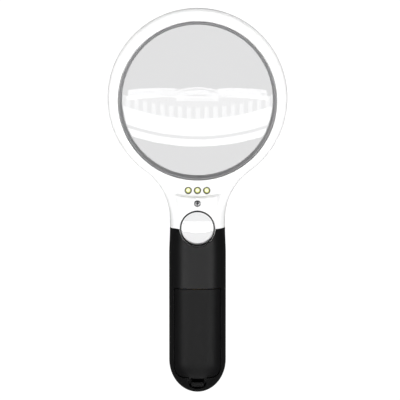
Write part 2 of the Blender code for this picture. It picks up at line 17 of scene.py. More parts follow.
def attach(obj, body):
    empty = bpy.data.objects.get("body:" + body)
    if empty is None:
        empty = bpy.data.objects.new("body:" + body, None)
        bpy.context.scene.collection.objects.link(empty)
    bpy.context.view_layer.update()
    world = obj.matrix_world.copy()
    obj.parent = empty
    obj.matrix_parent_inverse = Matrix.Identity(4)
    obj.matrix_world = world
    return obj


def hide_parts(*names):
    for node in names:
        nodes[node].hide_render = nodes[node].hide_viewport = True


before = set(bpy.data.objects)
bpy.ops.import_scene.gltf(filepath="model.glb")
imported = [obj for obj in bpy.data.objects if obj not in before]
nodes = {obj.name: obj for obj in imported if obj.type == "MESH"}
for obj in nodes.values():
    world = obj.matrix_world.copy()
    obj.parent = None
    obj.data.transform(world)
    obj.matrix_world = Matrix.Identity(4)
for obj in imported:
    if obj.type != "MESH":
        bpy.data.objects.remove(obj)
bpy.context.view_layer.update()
scene = bpy.context.scene
scene.view_settings.view_transform = "Standard"

# %% [markdown]
# Shader maths is easier to read as sums than as chains of nodes. `Signal` wraps one output socket: adding or
# multiplying signals adds Math nodes, `blend` mixes two colours by a mask, and `node` makes any other node,
# settings first.


# %% A socket that can be written in sums
class Signal:
    def __init__(self, tree, socket):
        self.tree = tree
        self.socket = socket

    def feed(self, target, value):
        if isinstance(value, Signal):
            self.tree.links.new(value.socket, target)
        else:
            target.default_value = value

    def node(self, kind, settings=None, sockets=None, out=0):
        made = self.tree.nodes.new(kind)
        for name, value in (settings or {}).items():
            setattr(made, name, value)
        for name, value in (sockets or {}).items():
            self.feed(made.inputs[name], value)
        return Signal(self.tree, made.outputs[out])

    def math(self, operation, *values):
        return self.node("ShaderNodeMath", {"operation": operation}, dict(enumerate(values)))

    def __add__(self, other):
        return self.math("ADD", self, other)

    def __radd__(self, other):
        return self.math("ADD", other, self)

    def __sub__(self, other):
        return self.math("SUBTRACT", self, other)

    def __rsub__(self, other):
        return self.math("SUBTRACT", other, self)

    def __mul__(self, other):
        return self.math("MULTIPLY", self, other)

    def __rmul__(self, other):
        return self.math("MULTIPLY", other, self)

    def __pow__(self, other):
        return self.math("POWER", self, other)

    def between(self, low, high):
        """0 below low, 1 above high, smooth in the middle."""
        return self.node("ShaderNodeMapRange", {"interpolation_type": "SMOOTHSTEP"},
                         {"Value": self, "From Min": low, "From Max": high})

    def blend(self, dark, light):
        """Colour mix: dark where this signal is 0, light where it is 1."""
        wrap = [(*c, 1.0) if isinstance(c, tuple) else c for c in (dark, light)]
        return self.node("ShaderNodeMix", {"data_type": "RGBA"}, {0: self, 6: wrap[0], 7: wrap[1]}, out=2)

    def split(self):
        return [self.node("ShaderNodeSeparateXYZ", None, {0: self}, out=i) for i in range(3)]

    def noise(self, scale, detail=3.0, rough=0.5):
        return self.node("ShaderNodeTexNoise", None,
                         {"Vector": self, "Scale": scale, "Detail": detail, "Roughness": rough})


def finish(name, **constants):
    """A new material; returns it, its shader, and a Signal that carries the place on the object in metres."""
    made = bpy.data.materials.new(name)
    made.use_nodes = True
    shader = made.node_tree.nodes["Principled BSDF"]
    for key, value in constants.items():
        socket = shader.inputs[key.replace("_", " ")]
        socket.default_value = (*value, 1.0) if isinstance(value, tuple) else value
    tree = made.node_tree
    place = tree.nodes.new("ShaderNodeTexCoord")
    return made, shader, Signal(tree, place.outputs["Object"])


def soft_edges(place, radius, height, strength, distance):
    """Normals that round each sharp edge a little, with a fine bump on top."""
    rounded = place.node("ShaderNodeBevel", {"samples": 4}, {"Radius": radius})
    return place.node("ShaderNodeBump", None,
                      {"Strength": strength, "Distance": distance, "Height": height, "Normal": rounded})


print("socket helper ready")

# %% [markdown]
# The white head is injection moulded ABS from a polished tool: bright, smooth and a little wavy where the wall
# shrank. Two noises do that. A broad one moves the roughness slightly and tilts the surface by microns; nothing
# darkens the colour except a faint warm mottling.


# %% White moulded plastic
def white_plastic(name, grain=0.02):
    made, shader, place = finish(name, Base_Color=(0.86, 0.86, 0.86), Roughness=0.2, Specular_IOR_Level=0.5)
    broad = place.noise(45.0, 2.0)
    fine = place.noise(1400.0, 2.0)
    place.feed(shader.inputs["Base Color"], broad.blend((0.83, 0.83, 0.835), (0.88, 0.88, 0.875)))
    place.feed(shader.inputs["Roughness"], 0.16 + broad * 0.08 + fine * 0.05)
    height = broad * 0.8 + fine * 0.2
    place.feed(shader.inputs["Normal"], soft_edges(place, 0.00035, height, grain, 0.0002))
    return made


white = white_plastic("white_moulding")
print("made", white.name)

# %% [markdown]
# The handle is the same plastic in black, from a tool with a very fine spark texture. The texture is what makes
# the highlight broad and soft, so it is a real bump of about a third of a millimetre pitch, with a roughness that
# wanders, and slightly polished patches where a hand holds it.


# %% Black satin plastic
def black_plastic(name, rough=0.36, grain=0.22, gloss=0.13):
    made, shader, place = finish(name, Base_Color=(0.003, 0.003, 0.003), Specular_IOR_Level=gloss)
    grit = place.noise(3200.0, 2.0, 0.6)
    wander = place.noise(70.0, 3.0)
    place.feed(shader.inputs["Base Color"], wander.blend((0.0022, 0.0022, 0.0024), (0.0042, 0.0042, 0.0044)))
    place.feed(shader.inputs["Roughness"], rough - 0.04 + wander * 0.08 + grit * 0.05)
    place.feed(shader.inputs["Normal"], soft_edges(place, 0.0003, grit, grain, 0.00004))
    return made


black = black_plastic("black_moulding", gloss=0.22)
black_door = black_plastic("black_door", 0.38, gloss=0.14)
black_inside = black_plastic("black_inside", 0.5, 0.3)
print("made", black.name, black_inside.name)

# %% [markdown]
# The ring that holds the lens gets grey satin plastic. Its grey is painted shade: it stands in for the white wall
# of the lens bore lying in shadow. Its colour shifts a little along the ring, and a fine grain keeps it from
# looking like paint. The switch thumb wears the same grey.

# %% Grey satin plastic, painted shade on the lens ring
ring_grey, shader, place = finish("ring_grey", Base_Color=(0.23, 0.23, 0.235), Specular_IOR_Level=0.4)
cloud = place.noise(120.0, 2.0)
grit = place.noise(2600.0, 2.0)
place.feed(shader.inputs["Base Color"], cloud.blend((0.20, 0.20, 0.205), (0.26, 0.26, 0.265)))
place.feed(shader.inputs["Roughness"], 0.38 + grit * 0.12)
place.feed(shader.inputs["Normal"], soft_edges(place, 0.0002, grit, 0.15, 0.00004))
print("made", ring_grey.name)

# %% [markdown]
# The lenses are clear acrylic. Their grey base colour is painted shade: it greys the flat white floor seen through
# them, where real shade would lie under and behind the lens. Glass in Cycles would throw a black shadow on whatever
# lies under it, so shadow rays meet a pale see-through shader, and all others meet the real refracting one. The
# surface isn't perfect: a little haze lies in the roughness.


# %% Clear acrylic
def acrylic(name, painted_shade_tint, shade):
    made, shader, place = finish(name, Base_Color=painted_shade_tint, Roughness=0.0, IOR=1.49, Transmission_Weight=1.0)
    tree = made.node_tree
    wave = place.noise(30.0, 1.0)
    place.feed(shader.inputs["Roughness"], 0.004 + wave * 0.012)
    clear = place.node("ShaderNodeBsdfTransparent", None, {"Color": (*shade, 1.0)})
    path = place.node("ShaderNodeLightPath", None, None, out=1)
    body = Signal(tree, shader.outputs[0])
    both = place.node("ShaderNodeMixShader", None, {0: path, 1: body, 2: clear})
    tree.links.new(both.socket, tree.nodes["Material Output"].inputs["Surface"])
    return made


# The grey base colours here are painted shade on what each lens shows of the floor.
main_clear = acrylic("main_lens_acrylic", (0.77, 0.77, 0.775), (0.93, 0.93, 0.93))
small_clear = acrylic("small_lens_acrylic", (0.89, 0.89, 0.895), (0.92, 0.92, 0.92))
print("made", main_clear.name, small_clear.name)

# %% [markdown]
# Small parts need their own finishes: plated steel for screws and contacts, green lacquer with a pale print for
# the circuit board, tan lacquer on the resistors, coloured covers on the wires, and a printed sleeve with a
# bare steel end on each battery.


# %% Metal, board, sleeve and wire finishes
def plated(name, colour, rough):
    made, shader, place = finish(name, Base_Color=colour, Metallic=1.0)
    smear = place.noise(900.0, 4.0, 0.65)
    place.feed(shader.inputs["Roughness"], rough + smear * 0.18)
    shade = tuple(c * 0.8 for c in colour)
    place.feed(shader.inputs["Base Color"], smear.blend(shade, colour))
    place.feed(shader.inputs["Normal"], soft_edges(place, 0.0001, smear, 0.08, 0.00003))
    return made


def coated(name, colour, rough, scale=1500.0):
    made, shader, place = finish(name, Base_Color=colour)
    spot = place.noise(scale, 2.0)
    place.feed(shader.inputs["Base Color"], spot.blend(tuple(c * 0.75 for c in colour), colour))
    place.feed(shader.inputs["Roughness"], rough + spot * 0.12)
    place.feed(shader.inputs["Normal"], soft_edges(place, 0.0001, spot, 0.1, 0.00003))
    return made


screw_metal = plated("screw_plating", (0.62, 0.62, 0.63), 0.2)
# The neck screw's plating is painted near black below the top of its head, in the cross recess and round the sides
# sunk in the slot: painted shade. Only the smoother roughness on the top of the head is a real finish.
neck_metal_painted_shade, shader, place = finish("neck_screw_plating_painted_shade", Base_Color=(0.6, 0.6, 0.61), Metallic=1.0)
x, y, z = place.split()
polish_and_painted_shade = z.between(0.02012, 0.02032)
place.feed(shader.inputs["Base Color"], polish_and_painted_shade.blend((0.05, 0.05, 0.052), (0.62, 0.62, 0.63)))
place.feed(shader.inputs["Roughness"], 0.42 - polish_and_painted_shade * 0.18 + place.noise(1500.0) * 0.08)
contact_metal = plated("contact_nickel", (0.74, 0.72, 0.68), 0.2)
resistor_coat = coated("resistor_lacquer", (0.55, 0.42, 0.25), 0.35)
covers = {"wire_positive": coated("red_cover", (0.55, 0.02, 0.02), 0.35),
          "wire_negative": coated("black_cover", (0.02, 0.02, 0.02), 0.35),
          "wire_switched": coated("yellow_cover", (0.65, 0.45, 0.03), 0.35)}

board_green, shader, place = finish("board_lacquer", Base_Color=(0.02, 0.16, 0.06), Coat_Weight=0.4)
x, y, z = place.split()
track = (x * 900.0).math("SINE", x * 900.0).between(0.55, 0.75)
place.feed(shader.inputs["Base Color"], track.blend((0.02, 0.14, 0.05), (0.05, 0.26, 0.10)))
place.feed(shader.inputs["Roughness"], 0.3 + place.noise(1800.0) * 0.15)

sleeve, shader, place = finish("battery_sleeve", Base_Color=(0.05, 0.2, 0.09))
x, y, z = place.split()
from_end = y.math("ABSOLUTE", y + 0.0562)
steel_end = from_end.between(0.0213, 0.02135)
gold_band = from_end.between(0.0135, 0.0136)
colour = steel_end.blend(gold_band.blend((0.03, 0.15, 0.06), (0.62, 0.42, 0.12)), (0.7, 0.7, 0.7))
place.feed(shader.inputs["Base Color"], colour)
place.feed(shader.inputs["Metallic"], 0.25 + gold_band * 0.55)
place.feed(shader.inputs["Roughness"], 0.24 + place.noise(1200.0) * 0.1)
print("made", screw_metal.name, contact_metal.name, board_green.name, sleeve.name)

# %% [markdown]
# The body's shape is one rule: how far a point of the plan lies inside the outline. The head is a circle, an
# arc joins it to the handle, and the handle ends in half an ellipse. The height follows from that distance, so
# head, neck and handle run into each other with no seam. Working from one rule instead of joining blocks keeps
# the neck's shoulders smooth, which is where a glossy white surface shows every mistake.

# %% Measures in millimetres
MM = 0.001
HEAD_Y, HEAD_R = 49.1, 42.9
NECK_X, NECK_Y = 41.59, -8.8
NECK_R = NECK_X - 13.2
HANDLE_W, GRIP_W = 13.2, 13.6
TAIL_Y, TAIL_L = -76.5, 15.5
SPLIT, GAP, WALL = 8.0, 0.3, 1.8
HEAD_TOP, HANDLE_TOP = 15.0, 25.0
JOINT_Y = -12.5
LENS_Y, LENS_R = 48.0, 37.5
SMALL_Y, SMALL_BORE, COLLAR_R, TUBE_R = -12.2, 8.6, 10.1, 9.8
LED_Y, LED_PITCH, LED_TILT = 5.5, 4.4, math.radians(12)
DOOR_Y0, DOOR_Y1, DOOR_W = -41.0, -83.2, 11.0
NECK_SCREW_Y = -0.4
BACK_SCREWS = ((-13.0, 6.0, 11.5), (13.0, 6.0, 11.5), (-7.8, -22.0, 16.0), (7.8, -22.0, 16.0),
               (0.0, -86.4, 10.2))
print("overall length", HEAD_Y + HEAD_R - TAIL_Y + TAIL_L, "mm, head", 2 * HEAD_R, "mm wide")


# %% The outline and the height over it
def ease(t):
    t = min(1.0, max(0.0, t))
    return t * t * (3.0 - 2.0 * t)


def edge_distance(x, y):
    """How far inside the outline a point of the plan is."""
    x = abs(x)
    if y <= TAIL_Y:
        return (1.0 - math.hypot(x / GRIP_W, (y - TAIL_Y) / TAIL_L)) * GRIP_W
    if y <= NECK_Y:
        return HANDLE_W + (GRIP_W - HANDLE_W) * ease((-12.0 - y) / 14.0) - x
    if NECK_X * (y - HEAD_Y) + (HEAD_Y - NECK_Y) * x < 0.0:
        return math.hypot(x - NECK_X, y - NECK_Y) - NECK_R
    return HEAD_R - math.hypot(x, y - HEAD_Y)


def plateau(x, y):
    """Raised pad between the lamps and the small lens."""
    side = 11.5 - max(0.0, 4.0 - y) * 0.232 - abs(x)
    arc = 2.9 + 1.3 * (x / 11.5) ** 2 - y
    height = 2.6 * (1.0 - ease((2.9 - y) / 14.0))
    return height * ease(side / 1.8) * ease(arc / 0.9)


def rounding(d, width, power):
    t = min(1.0, max(0.0, d / width))
    return (1.0 - (1.0 - t) ** power) ** (1.0 / power)


def top_z(x, y, inset=0.0):
    base = SPLIT + GAP / 2
    crown = HEAD_TOP + (HANDLE_TOP - HEAD_TOP) * ease((9.5 - y) / 24.0) - inset
    grow = ease((12.0 - y) / 24.0)
    width = 3.8 + 9.4 * grow + 0.4 * ease((-12.0 - y) / 14.0) - inset
    d = edge_distance(x, y) - inset
    return base + (crown - base) * rounding(d, width, 2.8 - 0.2 * grow) + plateau(x, y) * rounding(d, 2.0, 2.0)


def bottom_z(x, y, inset=0.0):
    base = SPLIT - GAP / 2
    grow = ease((12.0 - y) / 24.0)
    width = 3.6 + 9.6 * grow + 0.4 * ease((-12.0 - y) / 14.0) - inset
    depth = (base + 0.35 * grow) * rounding(edge_distance(x, y) - inset, width, 2.0 + grow)
    return max(inset, base - depth)


def half_width(y, inset):
    low, high = 0.0, 50.0
    if edge_distance(0.0, y) <= inset:
        return 0.0
    for _ in range(36):
        mid = (low + high) / 2
        low, high = (mid, high) if edge_distance(mid, y) > inset else (low, mid)
    return low


print("crown at the lamps", round(top_z(0, LED_Y), 2), "mm, at the handle", round(top_z(0, -40), 2), "mm")

# %% [markdown]
# A body is a grid of points laid over the plan in rows across the object, closed by a flat face where the two
# halves meet. Rows and columns crowd towards the edge, because that is where the surface turns.


# %% Mesh helpers
def finish_mesh(name, bm):
    bmesh.ops.remove_doubles(bm, verts=bm.verts, dist=1e-7)
    bmesh.ops.dissolve_degenerate(bm, edges=bm.edges, dist=1e-7)
    bmesh.ops.recalc_face_normals(bm, faces=bm.faces)
    mesh = bpy.data.meshes.new(name)
    bm.to_mesh(mesh)
    bm.free()
    made = bpy.data.objects.new(name, mesh)
    scene.collection.objects.link(made)
    return made


def build(name, points, faces):
    bm = bmesh.new()
    verts = [bm.verts.new(Vector(p) * MM) for p in points]
    for face in faces:
        bm.faces.new([verts[i] for i in face])
    return finish_mesh(name, bm)


def white_rows(inset, end=JOINT_Y + GAP / 2, steps=56, turns=80):
    rows = [end + (14.4 - end) * i / steps for i in range(steps)]
    radius = HEAD_R - inset
    start = math.asin((14.4 - HEAD_Y) / radius)
    return rows + [HEAD_Y + radius * math.sin(start + (math.pi / 2 - start) * i / turns) for i in range(turns + 1)]


def black_rows(inset, end=JOINT_Y - GAP / 2):
    length = TAIL_L * (1.0 - inset / GRIP_W)
    tail = [TAIL_Y - length * math.sin(math.pi / 2 * i / 44) for i in range(45)]
    grip = [end + (TAIL_Y - end) * t / 40 for t in range(40)]
    return grip + tail


def body(name, rows, height, inset, across=84):
    """A solid between the split plane and a height given over the plan."""
    base = SPLIT + GAP / 2 if height is top_z else SPLIT - GAP / 2
    bm = bmesh.new()
    grid = []
    for y in rows:
        wide = half_width(y, inset)
        line = []
        for k in range(across + 1):
            even = 2 * k / across - 1
            x = wide * math.sin(math.pi / 2 * (math.sin(math.pi / 2 * even) * 0.35 + 0.65 * even))
            z = base if k in (0, across) or wide == 0.0 else height(x, y, inset)
            line.append(bm.verts.new(Vector((x, y, z)) * MM))
        grid.append(line)
    for a, b in zip(grid, grid[1:]):
        for k in range(across):
            bm.faces.new((a[k], a[k + 1], b[k + 1], b[k]))
        bm.faces.new((a[0], a[-1], b[-1], b[0]))
    bm.faces.new(grid[0])
    if half_width(rows[-1], inset) > 0.05:
        bm.faces.new(grid[-1])
    else:
        for v in grid[-1]:
            v.co = Vector((0.0, rows[-1], base)) * MM
    bmesh.ops.remove_doubles(bm, verts=bm.verts, dist=1e-6)
    bmesh.ops.triangulate(bm, faces=[f for f in bm.faces if len(f.verts) > 4], ngon_method="EAR_CLIP")
    return finish_mesh(name, bm)


def revolve(name, profile, centre=(0.0, 0.0), segments=128):
    """Turn a closed (radius, z) profile about a vertical line."""
    count = len(profile)
    turns = [2 * math.pi * (s + 0.31) / segments for s in range(segments)]
    points = [(centre[0] + r * math.cos(a), centre[1] + r * math.sin(a), z) for a in turns for r, z in profile]
    faces = []
    for s in range(segments):
        n = (s + 1) % segments
        for i in range(count):
            j = (i + 1) % count
            if profile[i][0] < 1e-6 and profile[j][0] < 1e-6:
                continue
            quad = [s * count + i, s * count + j, n * count + j, n * count + i]
            if profile[i][0] < 1e-6:
                quad.pop()
            elif profile[j][0] < 1e-6:
                quad.pop(2)
            faces.append(quad)
    return build(name, points, faces)


def cylinder(x, y, radius, z0, z1, segments=64):
    return revolve("tool", [(0, z0), (radius, z0), (radius, z1), (0, z1)], (x, y), segments)


def extrude(name, outline, low, high, lift=lambda a, b, t: (a, b, t)):
    """Extrude a closed outline; lift says which axes the outline lies in."""
    n = len(outline)
    points = [lift(a, b, low) for a, b in outline] + [lift(a, b, high) for a, b in outline]
    faces = [tuple(range(n)), tuple(range(n, 2 * n))]
    return build(name, points, faces + [(i, (i + 1) % n, n + (i + 1) % n, n + i) for i in range(n)])


def block(x0, x1, y0, y1, z0, z1):
    return extrude("tool", [(x0, y0), (x1, y0), (x1, y1), (x0, y1)], z0, z1)


def rounded_plan(wide, y_top, y_low, r_top, r_low, steps=12):
    """Rectangle symmetric about x = 0 with rounded corners, seen in plan."""
    out = []
    corners = ((1, y_top, r_top, 0), (-1, y_top, r_top, 90), (-1, y_low, r_low, 180), (1, y_low, r_low, 270))
    for sx, y, r, start in corners:
        cx, cy = sx * (wide - r), (y - r if start < 180 else y + r)
        turns = [math.radians(start + 90 * i / steps) for i in range(steps + 1)]
        out += [(cx + r * math.cos(a), cy + r * math.sin(a)) for a in turns]
    return out


def combine(target, tool, operation):
    """Boolean the tool into the target and keep the answer."""
    mod = target.modifiers.new("step", "BOOLEAN")
    mod.operation, mod.solver, mod.object = operation, "EXACT", tool
    graph = bpy.context.evaluated_depsgraph_get()
    mesh = bpy.data.meshes.new_from_object(target.evaluated_get(graph))
    target.modifiers.clear()
    target.data = mesh
    bpy.data.objects.remove(tool, do_unlink=True)
    return target


def cut(target, *tools):
    for tool in tools:
        combine(target, tool, "DIFFERENCE")
    return target


def add(target, *tools):
    for tool in tools:
        combine(target, tool, "UNION")
    return target


def place_at(made, matrix):
    made.data.transform(matrix)
    return made


def dress(made, material, body_name, slot_name, *stands_for, angle=32):
    """Smooth shading with crisp corners, the finish, the body it rides on and the CAD nodes it stands for."""
    made.data.shade_smooth()
    made.data.set_sharp_from_angle(angle=math.radians(angle))
    made.data.materials.clear()
    made.data.materials.append(material)
    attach(made, body_name)
    if stands_for:
        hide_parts(*stands_for)
    print(f"{made.name}: {len(made.data.polygons)} faces")
    return made


print("mesh helpers ready")

# %% [markdown]
# The front head shell carries everything the eye goes to: the bore for the lens with a rolled lip, the sloped
# pad with three lamp holes, the raised pad behind its curved step, the slot round the screw, and half of the
# small lens's opening. The cutters are shaped like the tools of the mould, so the lens bore's cutter is a
# cylinder that flares at its rim.


# %% Front head shell
def lamp_frame(x):
    tip = Vector((x, LED_Y + 0.17, 16.7)) * MM
    return Matrix.Translation(tip) @ Matrix.Rotation(-LED_TILT, 4, "X")


def flared(radius, top, lip, z0=0.0, z1=40.0, segments=160):
    """A round cutter whose upper rim rolls outwards by lip."""
    turns = [math.pi / 2 * i / 6 for i in range(7)]
    roll = [(radius + lip * (1 - math.cos(a)), top - lip + lip * math.sin(a)) for a in turns]
    return [(0, z0), (radius, z0)] + roll + [(radius + lip, z1), (0, z1)]


front = body("white_front", white_rows(0.0), top_z, 0.0)
hollow = body("hollow", white_rows(WALL, JOINT_Y - 2.0, 30, 40), top_z, WALL, 40)
cut(hollow, cylinder(0, LENS_Y, LENS_R + 1.9, 0, 40, 96), cylinder(0, SMALL_Y, COLLAR_R + 0.3, 17.9, 40),
    cylinder(0, NECK_SCREW_Y, 2.2, 0, 40, 24))
cut(front, hollow)
cut(front, revolve("tool", flared(LENS_R + 0.3, 15.02, 0.7), (0, LENS_Y), 192),
    cylinder(0, SMALL_Y, SMALL_BORE, 0, 40, 96), cylinder(0, SMALL_Y, COLLAR_R, 0, 18.0, 72),
    cylinder(0, NECK_SCREW_Y, 1.2, 0, 40, 24), cylinder(0, NECK_SCREW_Y, 1.65, 19.0, 40, 40))
slot = extrude("tool", rounded_plan(2.6, 2.6, -6.0, 2.55, 0.2), 0.0, 6.0)
place_at(slot, Matrix.Translation(Vector((0, NECK_SCREW_Y, 20.35)) * MM) @ Matrix.Rotation(math.radians(-20), 4, "X"))
cut(front, slot)
for x in (-LED_PITCH, 0.0, LED_PITCH):
    cut(front, place_at(revolve("tool", flared(1.72, -0.75, 0.25, -8.0, 6.0), segments=48), lamp_frame(x)))
dress(front, white, "body", "white_abs", "front_head_shell")

# %% [markdown]
# The back head shell mirrors it, with a coned opening that shows the lens's back, a tube for the small lens,
# and two countersunk screw holes. Only its outside is ever seen, but its inside shows through the clear lens as
# a pale ring, so the seat is modelled too.

# %% Back head shell
back = body("white_back", white_rows(0.0, steps=40, turns=64), bottom_z, 0.0, 64)
hollow = body("hollow", white_rows(WALL, JOINT_Y - 2.0, 30, 40), bottom_z, WALL, 40)
cut(hollow, cylinder(0, LENS_Y, LENS_R + 1.9, -5, 40, 96))
cut(back, hollow)
add(back, cylinder(0, SMALL_Y, TUBE_R, 0.3, 17.5, 72))
for x, y, _ in BACK_SCREWS[:2]:
    add(back, cylinder(x, y, 3.3, 0.9, 7.8, 32))
seat = [(0, -2), (37.5, -2), (37.5, 0.0), (37.1, 0.5), (35.8, 4.5), (35.8, 6.2), (37.8, 6.2), (37.8, 20), (0, 20)]
bore = [(0, -2), (8.3, -2), (8.3, 0.4), (7.3, 3.0), (7.3, 15.4), (8.6, 15.4), (8.6, 20), (0, 20)]
cut(back, revolve("tool", seat, (0, LENS_Y), 160), revolve("tool", bore, (0, SMALL_Y), 80))
for x, y, _ in BACK_SCREWS[:2]:
    cut(back, cylinder(x, y, 2.3, -2, 2.4, 40), cylinder(x, y, 1.2, -2, 20, 24))
dress(back, white, "body", "white_abs", "back_head_shell")

# %% [markdown]
# The lenses and the rings that hold them are turned shapes, so each is a profile spun round its axis. The main
# lens is thick in the middle; its faces are true spheres, because a highlight on clear plastic gives away any
# flat spot.


# %% Lenses and rings
def lens_profile(radius, edge0, edge1, sag_low, sag_high, steps):
    def swell(r, sag):
        ball = (radius ** 2 + sag ** 2) / (2 * sag)
        return sag - (ball - math.sqrt(ball ** 2 - r ** 2))

    radii = [radius * math.sin(math.pi / 2 * i / steps) for i in range(steps + 1)]
    low = [(r, edge0 - swell(r, sag_low)) for r in radii]
    high = [(r, edge1 + swell(r, sag_high)) for r in reversed(radii)]
    return low[:-1] + [(radius - 0.15, edge0), (radius, edge0 + 0.15), (radius, edge1 - 0.15),
                       (radius - 0.15, edge1)] + high[1:]


lens = revolve("clear_main_lens", lens_profile(LENS_R, 6.9, 8.8, 5.8, 2.0, 40), (0, LENS_Y), 160)
dress(lens, main_clear, "body", "lens_clear", "main_lens", angle=20)
loupe = revolve("clear_small_lens", lens_profile(8.3, 16.2, 19.4, 1.5, 0.5, 20), (0, SMALL_Y), 96)
dress(loupe, small_clear, "body", "lens_clear", "small_lens", angle=20)

profile = [(36.1, 9.55), (37.45, 9.55), (37.5, 9.6), (37.5, 14.2), (37.42, 14.45), (37.25, 14.58), (37.1, 14.6),
           (36.98, 14.5), (36.88, 14.3), (36.2, 10.4), (36.1, 10.15)]
# The ring's grey is painted shade: the bore wall round the lens is white plastic in shadow.
holder = revolve("lens_ring_painted_shade_grey", profile, (0, LENS_Y), 192)
dress(holder, ring_grey, "body", "ring_grey", "lens_ring", angle=40)
profile = [(7.7, 20.15), (8.25, 20.15), (8.3, 20.2), (8.3, 21.25), (8.22, 21.42), (8.05, 21.5), (7.92, 21.48),
           (7.78, 21.3), (7.7, 21.0)]
small_holder = revolve("black_loupe_ring", profile, (0, SMALL_Y), 96)
dress(small_holder, black, "body", "black_abs", "small_lens_ring", angle=40)

# %% [markdown]
# The handle's two shells use the same rule for their shape as the head. The front one has the opening for the
# battery door and, at the tail, a U-shaped scoop for a fingertip; the back one has the well for the switch.

# %% Handle shells
grip = body("black_front", black_rows(0.0), top_z, 0.0)
hollow = body("hollow", black_rows(WALL, JOINT_Y + 2.0), top_z, WALL, 40)
cut(hollow, cylinder(0, SMALL_Y, COLLAR_R + 0.3, 17.9, 40),
    extrude("tool", rounded_plan(5.6, -83.9, -90.7, 0.2, 4.48, 8), 11.7, 40))
cut(grip, hollow)
cut(grip, cylinder(0, SMALL_Y, SMALL_BORE, 0, 40, 96), cylinder(0, SMALL_Y, COLLAR_R, 0, 18.0, 72),
    extrude("tool", rounded_plan(4.3, -82.0, -89.4, 0.2, 3.44, 12), 13.0, 40),
    extrude("tool", rounded_plan(DOOR_W + 0.3, DOOR_Y0 + 0.3, DOOR_Y1 - 0.6, 1.2, 5.0), 12.0, 40))
dress(grip, black, "body", "black_abs", "handle_front_shell")

heel = body("black_back", black_rows(0.0), bottom_z, 0.0, 64)
hollow = body("hollow", black_rows(WALL, JOINT_Y + 2.0), bottom_z, WALL, 40)
cut(hollow, cylinder(0, -86.4, 3.4, -5, 40, 32))
for x, y, _ in BACK_SCREWS[2:4]:
    cut(hollow, cylinder(x, y, 3.1, -5, 3.7, 32))
cut(heel, hollow)
cut(heel, cylinder(0, SMALL_Y, COLLAR_R, -5, 40, 72),
    extrude("tool", rounded_plan(3.4, -22.9, -29.9, 1.0, 1.0), -2.0, 1.2), block(-1.1, 1.1, -28.6, -24.2, -2.0, 5.0))
for x, y, _ in BACK_SCREWS[2:]:
    cut(heel, cylinder(x, y, 2.3, -2, 2.3, 40), cylinder(x, y, 1.2, -2, 20, 24))
dress(heel, black, "body", "black_abs", "handle_back_shell")

# %% [markdown]
# The battery door is a piece of the same skin, 1.9 mm thick: the handle's solid, less the same solid moved
# down, kept inside a rounded plan. Two tabs slide under the handle at one end, and a bent tongue at the other
# end is the latch. The tongue's thumb pad gets three small ridges.

# %% Battery door and latch
door = body("door_skin", black_rows(0.0), top_z, 0.0)
cut(door, place_at(body("under", black_rows(0.0), top_z, 0.0), Matrix.Translation((0, 0, -1.9 * MM))))
combine(door, extrude("tool", rounded_plan(DOOR_W, DOOR_Y0, DOOR_Y1, 1.0, 4.8), 9.0, 40.0), "INTERSECT")
add(door, block(-3.4, 3.4, DOOR_Y1 + 0.05, -82.4, 15.1, 23.1))
for x in (-6.0, 6.0):
    side = [(-39.7, 19.6), (-39.7, 20.5), (-41.4, 20.5), (-41.4, 23.6), (-43.0, 23.6), (-43.0, 19.6)]
    add(door, extrude("tool", side, x - 1.0, x + 1.0, lambda a, b, t: (t, a, b)))
dress(door, black_door, "battery_door", "black_abs", "battery_door")

side = [(-82.5, 13.7), (-85.3, 13.7), (-85.9, 13.85), (-86.6, 14.6), (-88.6, 17.2), (-88.8, 17.6), (-88.8, 18.0),
        (-88.5, 18.5), (-88.25, 18.45), (-88.0, 18.95), (-87.75, 18.95), (-87.45, 19.5), (-87.2, 19.45),
        (-86.9, 20.0), (-86.6, 20.3), (-86.3, 20.4), (-86.1, 20.2), (-86.1, 19.8), (-87.1, 17.6), (-85.7, 15.3),
        (-85.1, 14.8), (-82.5, 14.8)]
latch = extrude("latch_tongue", side, -3.0, 3.0, lambda a, b, t: (t, a, b))
dress(latch, black, "door_latch", "black_abs", "door_latch")

# %% [markdown]
# Each lamp is a 3 mm light-emitting diode. From above it is a clear dome over a pale yellow chip. A dark ring
# painted round the dome's edge is painted shade, where the hole round the lamp shades it, and a faint emission
# over the middle is a painted glow, not light from a lit lamp. The dome is spun, and its colour comes from the
# distance to its own axis, so each lamp is a separate object whose origin stands on that axis.

# %% Lamps
lamp_glass_painted_glow_and_shade, shader, place = finish("lamp_epoxy_painted_glow_and_shade", Base_Color=(0.9, 0.9, 0.6), Roughness=0.08, Coat_Weight=0.6)
x, y, z = place.split()
out = (x * x + y * y) ** 0.5
dot = 1.0 - out.between(0.00012, 0.00028)
tone_and_glow_mask = out.between(0.00045, 0.00105)
# Painted shade: a dark ring round the dome's edge, where the hole round the lamp shades it.
rim = out.between(0.00105, 0.00142)
glow = dot.blend(tone_and_glow_mask.blend((0.95, 0.96, 0.58), (0.50, 0.53, 0.18)), (0.30, 0.30, 0.12))
place.feed(shader.inputs["Base Color"], rim.blend(glow, (0.06, 0.06, 0.015)))
# Painted glow: a faint emission over the middle of the dome, not light from a lit lamp.
place.feed(shader.inputs["Emission Color"], tone_and_glow_mask.blend((0.5, 0.5, 0.26), (0.0, 0.0, 0.0)))
shader.inputs["Emission Strength"].default_value = 0.5
place.feed(shader.inputs["Roughness"], 0.05 + place.noise(2000.0) * 0.06)

